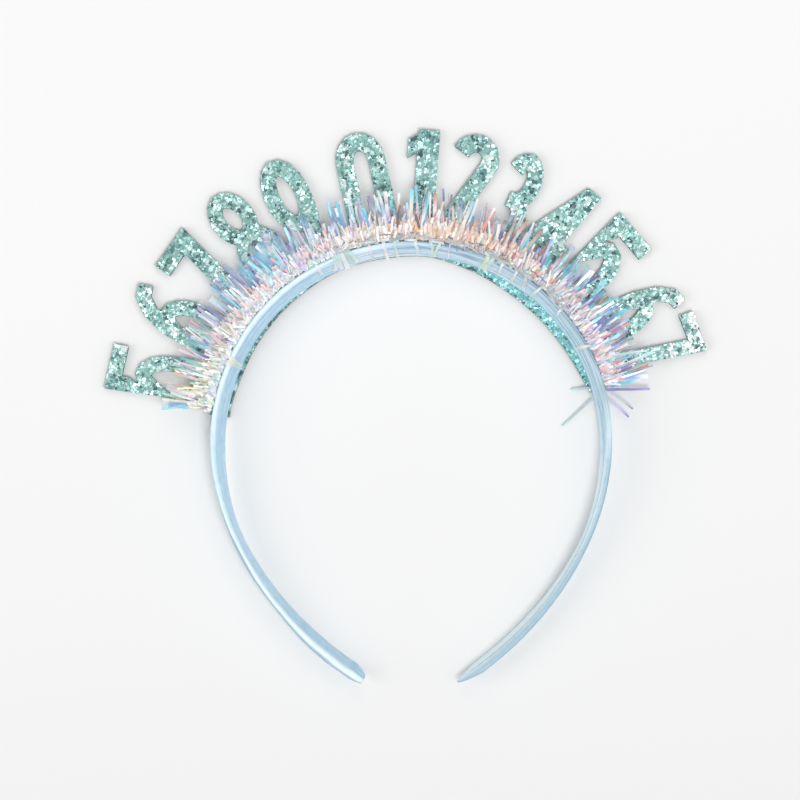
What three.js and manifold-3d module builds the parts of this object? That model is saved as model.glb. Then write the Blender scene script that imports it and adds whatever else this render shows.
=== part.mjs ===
// Birthday headband: a ribbon-covered band, a die-cut foam sheet of numerals and a tinsel garland.
// It lies on its rear edge: +X is right, +Y runs from the open ends to the crown, +Z is up.
// Lengths are millimetres. Turns are degrees clockwise from the crown, so the left side is negative.
import * as THREE from 'three';
import { mergeVertices } from 'three/addons/utils/BufferGeometryUtils.js';
import Module from 'manifold-3d';

const wasm = await Module();
wasm.setup();

const pieceGap = 0.3;

// Band
const bandRadius = 68; // to the front edge, over the crown
const bandThickness = 2.2;
const bandWidth = 9.6; // from the rear edge to the front edge, at the crown
const bandEndWidth = 7.6; // the same, just before the tips
const rearInset = 2.5; // how far the rear edge sits inside the front edge, over the crown
const limbInset = 1.1; // the same, half way down the limbs
const tipInset = 2.3; // and at the tips
const rearShiftX = 0.6; // the rear edge also sits this far to the right
const rearShiftY = -0.4; // and this far towards the crown
const tipAngle = 168.5; // from the crown to each tip
const leftSpread = 0.335; // how far the left limb strays out of the circle, as a share of the radius
const rightSpread = 0.36;
const limbCurl = 2.6; // how late they do so
const crownEnd = 90; // turn where the limbs leave the crown's circle
const crownInsetEnd = 85; // turns between which the rear edge's inset changes, crown to limb
const limbInsetStart = 120;
const limbInsetEnd = 112; // and from limb to tip
const tipInsetStart = 158;
const tipRounding = 7; // length of each rounded tip
const tipFullness = [0.2, 0.5, 0.8, 0.94]; // rings of a rounded tip, as shares of the full section
const bandStations = 58;

// Foam sheet
const foamThickness = 2;
const foamLeftAngle = -82.5;
const foamRightAngle = 75;
const stripMargin = 2.9; // base strip outside the band's front edge
const rimWidth = 2.9; // the most that the base strip shows inside the band
const stripEndRounding = 1.6;
const stripStations = 44;

// The base strip's inner edge: how much of rimWidth it stands inside the band's rear edge
const rimTable = [
  { turn: -82.5, show: 0.12 },
  { turn: -75, show: 0.2 },
  { turn: -58, show: 0.24 },
  { turn: -40, show: 0.1 },
  { turn: -20, show: -0.16 },
  { turn: 2, show: -0.12 },
  { turn: 18, show: 0.45 },
  { turn: 32, show: 0.9 },
  { turn: 46, show: 1 },
  { turn: 60, show: 0.84 },
  { turn: 75, show: 0.12 },
];

// Numerals
const numeralHeight = 37.4;
const numeralWidth = 16;
const numeralStroke = 5.6;
const numeralRoot = 1.2; // how far a numeral's foot runs into the base strip
const arcStep = 24; // at most this many degrees between two points of a curved stroke
const waistHeight = 0.53; // where the two halves of 3 and 8 meet, as a share of the height
const roundBowl = 0.285; // half height of the bowl of 6 and 9, as a share of the height
const openBowl = 0.3; // the same for 5
const crossbarHeight = 0.36; // of 4
const endCurve = 1.3; // how much taller than wide the ends of 0 are
const hookWidth = 1.9; // how much wider than the bowl the hook of 6 and 9 is

// Shares of the three sizes above. turn is the place in the fan, lean turns a numeral about its foot.
const numeralTable = [
  { digit: 5, turn: -75.2, lean: -2, width: 0.98, stroke: 0.9, height: 0.97 },
  { digit: 6, turn: -61.4, lean: -3.5, width: 0.97, stroke: 0.9, height: 1 },
  { digit: 7, turn: -49, lean: -6, width: 1.04, stroke: 1.06, height: 0.97 },
  { digit: 8, turn: -37.4, lean: -4.5, width: 1, stroke: 0.9, height: 1 },
  { digit: 9, turn: -26.4, lean: -1, width: 0.98, stroke: 0.94, height: 0.99 },
  { digit: 0, turn: -9.3, lean: -3, width: 1.06, stroke: 1.06, height: 0.99 },
  { digit: 1, turn: 1.6, lean: 3, width: 0.66, stroke: 1.3, height: 0.98 },
  { digit: 2, turn: 12.2, lean: 2.5, width: 1.03, stroke: 1.06, height: 1 },
  { digit: 3, turn: 23, lean: 1, width: 0.86, stroke: 0.96, height: 0.98 },
  { digit: 4, turn: 33.4, lean: 6, width: 0.94, stroke: 0.94, height: 0.96 },
  { digit: 5, turn: 45.6, lean: 4, width: 1.02, stroke: 1, height: 0.95 },
  { digit: 6, turn: 59.4, lean: 2.5, width: 0.86, stroke: 0.86, height: 0.96 },
  { digit: 7, turn: 69.2, lean: 0, width: 0.94, stroke: 0.88, height: 0.96 },
];

// Tinsel garland
const coreDiameter = 5;
const coreLeftAngle = -80.5;
const coreRightAngle = 73;
const coreSides = 8;
const coreStations = 90;
const coreCrimp = 0.12; // how much the crimped core swells and pinches, as a share of its radius
const crimpPace = 2.4; // radians of that from one station to the next
const stripWidth = 1.2;
const stripThickness = 0.36;
const stripLength = 16; // from the core's middle
const riseSpread = 12; // degrees by which a row's strips vary in rise
const rollSpread = 40; // and in roll

// Rows of strips from the core: rise above the foam's face, and shares of stripLength
const stripRows = [
  { rise: 1.5, reach: 1, spread: 0.2, slant: 9, count: 58 },
  { rise: 24, reach: 0.96, spread: 0.24, slant: 14, count: 56 },
  { rise: 50, reach: 0.84, spread: 0.3, slant: 20, count: 52 },
];

const radians = THREE.MathUtils.degToRad;

// A point at a radius and a turn clockwise from the crown
const polar = (radius, turn) =>
  new THREE.Vector2(radius * Math.sin(radians(turn)), radius * Math.cos(radians(turn)));

function toManifold(geometry) {
  const bare = geometry.clone();
  bare.deleteAttribute('normal');
  bare.deleteAttribute('uv');
  const merged = mergeVertices(bare.index ? bare.toNonIndexed() : bare, 1e-5);
  return new wasm.Manifold(new wasm.Mesh({
    numProp: 3,
    vertProperties: new Float32Array(merged.attributes.position.array),
    triVerts: new Uint32Array(merged.index.array),
  }));
}

function toGeometry(solid) {
  const mesh = solid.getMesh();
  const geometry = new THREE.BufferGeometry();
  geometry.setAttribute('position', new THREE.BufferAttribute(mesh.vertProperties, 3));
  geometry.setIndex(new THREE.BufferAttribute(mesh.triVerts, 1));
  geometry.computeVertexNormals();
  return geometry;
}

// A closed body through rings of points, all with the same number of points
function skinRings(rings) {
  const sides = rings[0].length;
  const last = rings.length - 1;
  const positions = rings.flat().flatMap((point) => point.toArray());
  const faces = [];
  for (let i = 0; i < last; i += 1) {
    for (let j = 0; j < sides; j += 1) {
      const a = i * sides + j;
      const b = i * sides + ((j + 1) % sides);
      faces.push(a, b, b + sides, a, b + sides, a + sides);
    }
  }
  for (let j = 1; j < sides - 1; j += 1) {
    faces.push(0, j + 1, j);
    faces.push(last * sides, last * sides + j, last * sides + j + 1);
  }
  const geometry = new THREE.BufferGeometry();
  geometry.setAttribute('position', new THREE.Float32BufferAttribute(positions, 3));
  geometry.setIndex(faces);
  geometry.computeVertexNormals();
  return geometry;
}

// How far the rear edge sits inside the front edge at a turn
function insetAt(turn) {
  const { lerp, smoothstep } = THREE.MathUtils;
  const downLimb = smoothstep(Math.abs(turn), crownInsetEnd, limbInsetStart);
  const toTip = smoothstep(Math.abs(turn), limbInsetEnd, tipInsetStart);
  const across = rearShiftX * Math.sin(radians(turn));
  const along = rearShiftY * Math.cos(radians(turn));
  return lerp(lerp(rearInset - along, limbInset, downLimb), tipInset, toTip) - across;
}

// The band's front outer edge: a circle over the crown, opening out down the limbs
function bandEdge(turn) {
  const below = Math.max(0, Math.abs(turn) - crownEnd) / crownEnd;
  const spread = turn < 0 ? leftSpread : rightSpread;
  return polar(bandRadius * (1 + spread * below ** limbCurl), turn);
}

// The height of the band's rear edge: on the foam over the crown, on the table at the tips
function bandSeat(turn) {
  const foamEnd = turn < 0 ? -foamLeftAngle : foamRightAngle;
  const fall = THREE.MathUtils.smoothstep(Math.abs(turn), foamEnd, tipAngle);
  return (foamThickness + pieceGap) * (1 - fall);
}

// The band's section as shares of its thickness (from the outer face) and width (from the rear)
const bandSection = [
  { inward: 0, up: 0.3 },
  { inward: 0, up: 0.7 },
  { inward: 0.05, up: 0.92 },
  { inward: 0.3, up: 1 },
  { inward: 0.72, up: 1 },
  { inward: 0.96, up: 0.93 },
  { inward: 1, up: 0.7 },
  { inward: 1, up: 0.3 },
  { inward: 0.96, up: 0.07 },
  { inward: 0.72, up: 0 },
  { inward: 0.3, up: 0 },
  { inward: 0.05, up: 0.08 },
];

function bandRing(turn, fullness) {
  const step = 0.05;
  const edge = bandEdge(turn);
  const along = bandEdge(turn + step).sub(bandEdge(turn - step)).normalize();
  const inward = new THREE.Vector2(along.y, -along.x);
  const taper = THREE.MathUtils.smoothstep(Math.abs(turn), crownEnd, tipAngle);
  const width = THREE.MathUtils.lerp(bandWidth, bandEndWidth, taper);
  return bandSection.map((corner) => {
    const up = 0.5 + (corner.up - 0.5) * fullness;
    const across = 0.5 + (corner.inward - 0.5) * Math.sqrt(fullness);
    const depth = across * bandThickness + (1 - up) * insetAt(turn);
    const place = edge.clone().addScaledVector(inward, depth);
    return new THREE.Vector3(place.x, place.y, bandSeat(turn) + up * width);
  });
}

function bandGeometry() {
  const tipTurn = THREE.MathUtils.radToDeg(tipRounding / bandEdge(tipAngle).length());
  const rings = [];
  tipFullness.forEach((fullness) => {
    const back = tipTurn * (1 - Math.sqrt(1 - fullness ** 2));
    rings.push(bandRing(-tipAngle + back, fullness));
  });
  for (let i = 0; i <= bandStations; i += 1) {
    const share = (2 * i) / bandStations - 1;
    rings.push(bandRing(share * (tipAngle - tipTurn), 1));
  }
  tipFullness.slice().reverse().forEach((fullness) => {
    const back = tipTurn * (1 - Math.sqrt(1 - fullness ** 2));
    rings.push(bandRing(tipAngle - back, fullness));
  });
  return skinRings(rings);
}

const extrudeFlat = (shape) => new THREE.ExtrudeGeometry(shape, { depth: foamThickness, bevelEnabled: false });

// The curved base strip that the numerals grow out of
function baseStripSolid() {
  const outerRadius = bandRadius + stripMargin;
  const rim = new THREE.SplineCurve(rimTable.map(({ turn, show }) => {
    const rearInside = bandRadius - bandThickness - insetAt(turn);
    return polar(rearInside - show * rimWidth, turn);
  }));
  const outline = rim.getPoints(stripStations);
  for (let i = 0; i <= stripStations; i += 1) {
    const turn = THREE.MathUtils.lerp(foamRightAngle, foamLeftAngle, i / stripStations);
    const toEnd = Math.min(i, stripStations - i) === 0 ? stripEndRounding : 0;
    outline.push(polar(outerRadius - toEnd, turn));
  }
  return toManifold(extrudeFlat(new THREE.Shape(outline)));
}

// The outline of a stroke of one width along a centre line, with mitred corners
function strokeShape(line, width, closed) {
  const sides = [[], []];
  const count = line.length;
  line.forEach((point, i) => {
    const before = line[closed ? (i + count - 1) % count : Math.max(i - 1, 0)];
    const after = line[closed ? (i + 1) % count : Math.min(i + 1, count - 1)];
    const arriving = point.clone().sub(before);
    const leaving = after.clone().sub(point);
    if (arriving.lengthSq() === 0) arriving.copy(leaving);
    if (leaving.lengthSq() === 0) leaving.copy(arriving);
    arriving.normalize();
    const along = leaving.normalize().add(arriving).normalize();
    const across = new THREE.Vector2(-along.y, along.x);
    const mitre = width / 2 / across.dot(new THREE.Vector2(-arriving.y, arriving.x));
    sides[0].push(point.clone().addScaledVector(across, mitre));
    sides[1].push(point.clone().addScaledVector(across, -mitre));
  });
  if (!closed) return new THREE.Shape(sides[0].concat(sides[1].reverse()));
  const shape = new THREE.Shape(sides[0]);
  const other = new THREE.Shape(sides[1]);
  const outer = Math.abs(THREE.ShapeUtils.area(sides[0])) > Math.abs(THREE.ShapeUtils.area(sides[1]));
  (outer ? shape : other).holes.push(outer ? other : shape);
  return outer ? shape : other;
}

// Points along part of an ellipse, from one angle to another, in degrees anticlockwise from +X
function ellipsePoints(centreX, centreY, radiusX, radiusY, from, to) {
  const steps = Math.max(3, Math.ceil(Math.abs(to - from) / arcStep));
  const points = [];
  for (let i = 0; i <= steps; i += 1) {
    const angle = radians(THREE.MathUtils.lerp(from, to, i / steps));
    points.push(new THREE.Vector2(centreX + radiusX * Math.cos(angle), centreY + radiusY * Math.sin(angle)));
  }
  return points;
}

const fullEllipse = (...sizes) => ellipsePoints(...sizes, 0, 360).slice(0, -1);

const straight = (...ends) => ends.map(([x, y]) => new THREE.Vector2(x, y));

// Centre lines of each digit, in a box of this width and height that stands on y = 0
const digitLines = {
  0: ({ side, top, height }) => [
    {
      closed: true,
      line: [
        ...ellipsePoints(0, top - side * endCurve, side, side * endCurve, 0, 180),
        ...ellipsePoints(0, height - top + side * endCurve, side, side * endCurve, 180, 360),
      ],
    },
  ],
  1: ({ side, top, height, stroke }) => [
    { line: straight([side, 0], [side, height]) },
    { line: straight([side, top + stroke * 0.2], [-side - stroke, top - side - stroke * 0.55]), thin: 0.72 },
  ],
  2: ({ side, top, width, stroke }) => [
    {
      line: [
        ...ellipsePoints(0, top - side, side, side, 168, -28),
        ...straight([-side * 0.9, stroke * 0.5]),
      ],
    },
    { line: straight([-width / 2, stroke / 2], [width / 2, stroke / 2]) },
  ],
  3: ({ side, top, height, stroke }) => {
    const middle = height * waistHeight;
    const upper = (top - middle) / 2;
    const lower = (middle - stroke / 2) / 2;
    return [
      { line: [...ellipsePoints(0, top - upper, side * 0.92, upper, 155, -90), ...straight([-side * 0.5, middle])] },
      { line: [...straight([-side * 0.5, middle]), ...ellipsePoints(0, middle - lower, side, lower, 90, -155)] },
    ];
  },
  4: ({ side, height, width }) => {
    const bar = height * crossbarHeight;
    const post = side * 0.45;
    return [
      { line: straight([post, height], [-side, bar], [width / 2, bar]) },
      { line: straight([post, 0], [post, height]) },
    ];
  },
  5: ({ side, top, height, width, stroke }) => {
    const bowl = height * openBowl;
    return [
      {
        line: [
          ...straight([width / 2, top], [-side, top]),
          ...ellipsePoints(0, stroke / 2 + bowl, side, bowl, 142, -155),
        ],
      },
    ];
  },
  6: ({ side, top, height, stroke }) => {
    const bowl = height * roundBowl;
    const middle = stroke / 2 + bowl;
    return [
      { closed: true, line: fullEllipse(0, middle, side, bowl) },
      { line: ellipsePoints(side * 0.9, middle, side * hookWidth, top - middle, 180, 84) },
    ];
  },
  7: ({ side, top, width }) => [
    { line: straight([-width / 2, top], [side * 0.8, top], [-side * 0.3, 0]) },
  ],
  8: ({ side, top, height, stroke }) => {
    const waist = height * waistHeight;
    const upper = (top - waist) / 2;
    const lower = (waist - stroke / 2) / 2;
    return [
      { closed: true, line: fullEllipse(0, waist + upper, side * 0.9, upper) },
      { closed: true, line: fullEllipse(0, waist - lower, side, lower) },
    ];
  },
  9: ({ side, top, height }) => {
    const bowl = height * roundBowl;
    const middle = top - bowl;
    return [
      { closed: true, line: fullEllipse(0, middle, side, bowl) },
      { line: ellipsePoints(-side * 0.9, middle, side * hookWidth, top - (height - middle), 0, -96) },
    ];
  },
};

// One numeral, trimmed to its box, in its place in the fan
function numeralSolid({ digit, turn, lean, width, stroke, height }) {
  const size = {
    width: numeralWidth * width,
    height: numeralHeight * height,
    stroke: numeralStroke * stroke,
  };
  size.side = (size.width - size.stroke) / 2;
  size.top = size.height - size.stroke / 2;
  const box = new THREE.Shape(straight(
    [-size.width / 2, 0],
    [size.width / 2, 0],
    [size.width / 2, size.height],
    [-size.width / 2, size.height],
  ));
  const strokes = digitLines[digit](size).map(({ line, closed, thin = 1 }) =>
    toManifold(extrudeFlat(strokeShape(line, size.stroke * thin, closed))));
  const solid = wasm.Manifold.union(strokes).intersect(toManifold(extrudeFlat(box)));
  const foot = polar(bandRadius + stripMargin - numeralRoot, turn);
  return solid.rotate([0, 0, -turn - lean]).translate([foot.x, foot.y, 0]);
}

function foamGeometry() {
  const pieces = [baseStripSolid(), ...numeralTable.map(numeralSolid)];
  return toGeometry(wasm.Manifold.union(pieces));
}

// A share from 0 to 1 that varies from one strip to the next in an even, unordered way
const stripPace = 0.6180339887;
const saltPace = 0.7548776662;
const varied = (index, salt) => (index * stripPace + salt * saltPace) % 1;

// The core stands just outside the band's front edge, on the foam
const coreRadius = coreDiameter / 2;
const corePath = bandRadius + pieceGap + coreRadius * (1 + coreCrimp);
const coreHeight = foamThickness + pieceGap + coreRadius * (1 + coreCrimp);

function coreSolid() {
  const rings = [];
  for (let i = 0; i <= coreStations; i += 1) {
    const turn = THREE.MathUtils.lerp(coreLeftAngle, coreRightAngle, i / coreStations);
    const radius = coreRadius * (1 + coreCrimp * Math.sin(i * crimpPace));
    const ring = [];
    for (let j = 0; j < coreSides; j += 1) {
      const angle = (2 * Math.PI * (j + 0.5)) / coreSides;
      const place = polar(corePath + radius * Math.cos(angle), turn);
      ring.push(new THREE.Vector3(place.x, place.y, coreHeight + radius * Math.sin(angle)));
    }
    rings.push(ring);
  }
  return toManifold(skinRings(rings));
}

// One flat strip of film that starts in the middle of the core
function filmStripSolid(turn, length, rise, slant, roll) {
  const geometry = new THREE.BoxGeometry(stripWidth, length, stripThickness);
  geometry.translate(0, length / 2, 0);
  geometry.rotateY(radians(roll));
  geometry.rotateX(radians(rise));
  geometry.rotateZ(-radians(turn + slant));
  const root = polar(corePath, turn);
  geometry.translate(root.x, root.y, coreHeight);
  return toManifold(geometry);
}

function tinselGeometry() {
  const solids = [coreSolid()];
  stripRows.forEach(({ rise, reach, spread, slant, count }, row) => {
    for (let i = 0; i < count; i += 1) {
      const place = (i + 0.3 + 0.4 * varied(i, row)) / count;
      solids.push(filmStripSolid(
        THREE.MathUtils.lerp(coreLeftAngle, coreRightAngle, place),
        stripLength * (reach - spread * varied(i, row + 3)),
        rise + riseSpread * (varied(i, row + 5) - (row === 0 ? 0 : 0.5)),
        slant * (2 * varied(i, row + 7) - 1),
        rollSpread * (varied(i, row + 9) - 0.5),
      ));
    }
  });
  return toGeometry(wasm.Manifold.union(solids));
}

function namedMesh(name, geometry, color, roughness, metalness = 0) {
  const mesh = new THREE.Mesh(geometry, new THREE.MeshStandardMaterial({ color, roughness, metalness }));
  mesh.name = name;
  return mesh;
}

const headband = new THREE.Group();
headband.add(namedMesh('band', bandGeometry(), 0xb4d3e8, 0.42));
headband.add(namedMesh('glitter_foam', foamGeometry(), 0x8ccfc0, 0.5, 0.3));
headband.add(namedMesh('tinsel_garland', tinselGeometry(), 0xdccfe6, 0.2, 0.3));

// The origin is the middle of the footprint, on the surface that the headband lies on
const bounds = new THREE.Box3().setFromObject(headband, true);
const middle = bounds.getCenter(new THREE.Vector3());
headband.position.set(-middle.x, -middle.y, -bounds.min.z);
headband.updateMatrixWorld(true);

export default headband;
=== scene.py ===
# Birthday headband on a white table, seen from straight above. Blender 4.5.
# Sizes are in millimetres and angles in degrees; addPiece turns them into metres.
import math

import bpy
import numpy as np
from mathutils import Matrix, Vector
from mathutils.bvhtree import BVHTree


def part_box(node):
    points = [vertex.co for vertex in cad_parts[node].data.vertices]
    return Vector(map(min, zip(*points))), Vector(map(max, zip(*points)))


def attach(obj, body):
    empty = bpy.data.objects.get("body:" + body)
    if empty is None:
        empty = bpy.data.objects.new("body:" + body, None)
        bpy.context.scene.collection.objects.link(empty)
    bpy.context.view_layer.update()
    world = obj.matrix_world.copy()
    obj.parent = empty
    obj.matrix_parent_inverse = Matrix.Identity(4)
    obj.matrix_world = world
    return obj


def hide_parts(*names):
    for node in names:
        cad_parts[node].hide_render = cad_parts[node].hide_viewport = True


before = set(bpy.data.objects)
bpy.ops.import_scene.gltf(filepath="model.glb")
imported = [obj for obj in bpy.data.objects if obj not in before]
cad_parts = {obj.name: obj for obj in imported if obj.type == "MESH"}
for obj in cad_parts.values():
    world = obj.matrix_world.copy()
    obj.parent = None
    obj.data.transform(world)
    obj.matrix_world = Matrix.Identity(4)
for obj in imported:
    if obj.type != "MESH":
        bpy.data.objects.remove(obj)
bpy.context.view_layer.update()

mm = 0.001
print("frame loaded:", ", ".join(sorted(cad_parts)))


# Small maths

def smoothStep(value, low, high):
    share = np.clip((np.asarray(value, float) - low) / (high - low), 0, 1)
    return share * share * (3 - 2 * share)


def between(a, b, share):
    return a + (b - a) * share


def hump(value, middle, reach):
    return np.exp(-(((value - middle) / reach) ** 2))


def polar(radius, turn):  # turn is clockwise from the crown, in degrees
    angle = np.radians(turn)
    return np.stack(np.broadcast_arrays(radius * np.sin(angle), radius * np.cos(angle)), -1)


def unit(vectors):
    return vectors / np.maximum(np.linalg.norm(vectors, axis=-1, keepdims=True), 1e-9)


def wander(turns, seed, slowest=2.0):  # a smooth line between about -1 and 1
    rng = np.random.default_rng(seed)
    line = np.zeros(np.shape(turns))
    for k in range(8):
        pace = slowest * 1.6 ** k
        line += 0.7 ** k * np.sin(np.radians(turns) * pace + rng.uniform(0, 2 * math.pi))
    return line / 2


def tone(red, green, blue):  # a screen colour as the shader wants it
    return tuple(((c / 255 + 0.055) / 1.055) ** 2.4 for c in (red, green, blue))


# Materials

class Value:  # a shader socket that Python's operators work on
    def __init__(self, finish, socket):
        self.finish = finish
        self.socket = socket

    def maths(self, operation, *values):
        return self.finish.node("Math", {"operation": operation}, dict(enumerate(values)))

    def size(self):
        return self.maths("ABSOLUTE", self)

    def __add__(self, other):
        return self.maths("ADD", self, other)

    def __sub__(self, other):
        return self.maths("SUBTRACT", self, other)

    def __mul__(self, other):
        return self.maths("MULTIPLY", self, other)

    def __gt__(self, other):
        return self.maths("GREATER_THAN", self, other)

    def __rsub__(self, other):
        return self.maths("SUBTRACT", other, self)

    __radd__ = __add__
    __rmul__ = __mul__


class Finish:  # one material and its nodes
    def __init__(self, name):
        self.material = bpy.data.materials.new(name)
        self.material.use_nodes = True
        self.tree = self.material.node_tree
        self.tree.nodes.clear()

    def node(self, kind, settings=None, sockets=None, output=0):
        made = self.tree.nodes.new("ShaderNode" + kind)
        for name, value in (settings or {}).items():
            if name == "stops":
                elements = made.color_ramp.elements
                for element, (place, colour) in ((elements[0], value[0]), (elements[1], value[-1])):
                    element.position = place
                    element.color = (*colour, 1)
                for place, colour in value[1:-1]:
                    elements.new(place).color = (*colour, 1)
            elif name == "steps":
                made.color_ramp.interpolation = value
            else:
                setattr(made, name, value)
        for name, value in (sockets or {}).items():
            if isinstance(value, Value):
                self.tree.links.new(value.socket, made.inputs[name])
            else:
                made.inputs[name].default_value = value
        return Value(self, made.outputs[output]) if made.outputs else made

    def ramp(self, share, stops, steps="LINEAR"):
        return self.node("ValToRGB", {"steps": steps, "stops": stops}, {"Fac": share})

    def mix(self, share, a, b, how="MIX"):
        sockets = {0: share}
        for slot, colour in ((6, a), (7, b)):
            sockets[slot] = colour if isinstance(colour, Value) else (*colour, 1)
        return self.node("Mix", {"data_type": "RGBA", "blend_type": how}, sockets, 2)

    def place(self, kind="Object"):
        return self.node("TexCoord", output={"UV": 2, "Object": 3}[kind])

    def stored(self, name, kind="Fac"):
        return self.node("Attribute", {"attribute_name": name}, output={"Color": 0, "Fac": 2}[kind])

    def stretch(self, vector, scale):
        return self.node("VectorMath", {"operation": "MULTIPLY"}, {0: vector, 1: scale})

    def noise(self, vector, scale, detail=2.0, rough=0.5):
        sockets = {"Vector": vector, "Scale": scale, "Detail": detail, "Roughness": rough}
        return self.node("TexNoise", None, sockets)

    def cells(self, vector, scale):  # one random colour for each cell
        return self.node("TexVoronoi", None, {"Vector": vector, "Scale": scale}, 1)

    def waves(self, vector, direction, scale, distortion, output=0):
        sockets = {"Vector": vector, "Scale": scale, "Distortion": distortion}
        return self.node("TexWave", {"bands_direction": direction}, sockets, output)

    def bump(self, height, strength, depth):
        sockets = {"Strength": strength, "Distance": depth * mm, "Height": height}
        return self.node("Bump", None, sockets)

    def surface(self, sockets):
        for name, value in sockets.items():
            if isinstance(value, tuple) and len(value) == 3:
                sockets[name] = (*value, 1)
        shader = self.node("BsdfPrincipled", None, sockets)
        self.node("OutputMaterial", None, {"Surface": shader})
        return self.material


# The band's line, as in the frame: a circle over the crown that opens out down the limbs

bandForm = {
    "radius": 68.0,  # to the front edge, over the crown
    "thickness": 2.2,
    "width": 9.6,  # from the rear edge to the front edge
    "endWidth": 7.6,
    "rearInset": 2.5,  # how far the rear edge sits inside the front edge: crown, limbs, tips
    "limbInset": 1.1,
    "tipInset": 2.3,
    "rearShift": (0.6, -0.4),
    "tipTurn": 168.5,
    "spread": (0.335, 0.36),  # left and right limb
    "curl": 2.6,
    "foamTurns": (82.5, 75.0),
    "seat": 2.3,  # the rear edge stands on the foam sheet
}


def bandInset(turn):
    form = bandForm
    size = np.abs(turn)
    across = form["rearShift"][0] * np.sin(np.radians(turn))
    along = form["rearShift"][1] * np.cos(np.radians(turn))
    limb = between(form["rearInset"] - along, form["limbInset"], smoothStep(size, 85, 120))
    return between(limb, form["tipInset"], smoothStep(size, 112, 158)) - across


def bandEdge(turn):
    below = np.maximum(0, np.abs(turn) - 90) / 90
    spread = np.where(np.asarray(turn) < 0, *bandForm["spread"])
    return polar(bandForm["radius"] * (1 + spread * below ** bandForm["curl"]), turn)


def bandSeat(turn):
    foamEnd = np.where(np.asarray(turn) < 0, *bandForm["foamTurns"])
    return bandForm["seat"] * (1 - smoothStep(np.abs(turn), foamEnd, bandForm["tipTurn"]))


def bandInward(turn):  # level and square to the band
    along = unit(bandEdge(turn + 0.05) - bandEdge(turn - 0.05))
    return np.stack((along[..., 1], -along[..., 0]), -1)


def bandPlace(turn, depth, up):  # depth in from the outer face, up from 0 at the rear to 1
    turn, depth, up = np.broadcast_arrays(np.asarray(turn, float), depth, up)
    form = bandForm
    taper = smoothStep(np.abs(turn), 90, form["tipTurn"])
    width = between(form["width"], form["endWidth"], taper)
    level = bandEdge(turn) + bandInward(turn) * (depth + (1 - up) * bandInset(turn))[..., None]
    return np.concatenate((level, (bandSeat(turn) + up * width)[..., None]), -1)


# The middle of the crown's circle, found from the band's place in the frame
shoulder = bandPlace(np.linspace(-168, 168, 2001), 0.11, 0.92)
bandLow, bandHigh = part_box("band")
arcCentre = np.array((bandLow.x / mm - shoulder[:, 0].min(), bandHigh.y / mm - shoulder[:, 1].max(), 0))
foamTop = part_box("glitter_foam")[1].z / mm
print("crown circle at", arcCentre.round(2))


# Making pieces

def addPiece(name, places, faces, material, stored=None, uv=None, smooth=True, arc=True):
    mesh = bpy.data.meshes.new(name)
    points = (places.reshape(-1, 3) + (arcCentre if arc else 0)) * mm
    faces = faces.reshape(-1, 4)
    mesh.vertices.add(len(points))
    mesh.vertices.foreach_set("co", points.ravel())
    mesh.loops.add(faces.size)
    mesh.loops.foreach_set("vertex_index", faces.ravel())
    mesh.polygons.add(len(faces))
    mesh.polygons.foreach_set("loop_start", np.arange(0, faces.size, 4))
    mesh.polygons.foreach_set("use_smooth", np.full(len(faces), smooth))
    if uv is not None:
        layer = mesh.uv_layers.new(name="ribbon")
        layer.data.foreach_set("uv", uv.reshape(-1, 2)[faces.ravel()].ravel())
    for key, values in (stored or {}).items():
        colour = values.ndim > 1
        if colour:
            values = np.concatenate((values, np.ones((len(values), 1))), -1)
        layer = mesh.attributes.new(key, "FLOAT_COLOR" if colour else "FLOAT", "POINT")
        layer.data.foreach_set("color" if colour else "value", values.astype(np.float32).ravel())
    mesh.update(calc_edges=True)
    mesh.validate()
    mesh.materials.append(material)
    piece = bpy.data.objects.new(name, mesh)
    bpy.context.scene.collection.objects.link(piece)
    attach(piece, "root")
    print(f"{name}: {len(faces)} faces")
    return piece


def tubeFaces(rings, sides):  # quads round a row of rings, without ends
    first = np.arange(rings - 1)[:, None] * sides
    j = np.arange(sides)
    k = (j + 1) % sides
    return np.stack((first + j, first + k, first + k + sides, first + j + sides), -1).reshape(-1, 4)


def stripFaces(count, stations):  # strips with four corners at each station, closed at both ends
    tube = tubeFaces(stations, 4)
    ends = np.array([(3, 2, 1, 0), tuple(4 * stations - 4 + np.arange(4))])
    return np.arange(count)[:, None, None] * 4 * stations + np.concatenate((tube, ends))


def runAlong(points):  # how far it is along a line of points to each of them
    return np.concatenate(((0,), np.cumsum(np.linalg.norm(np.diff(points, axis=0), axis=-1))))


# Satin band: one ribbon folded round the strip, its edge tucked under along the right limb

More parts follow.
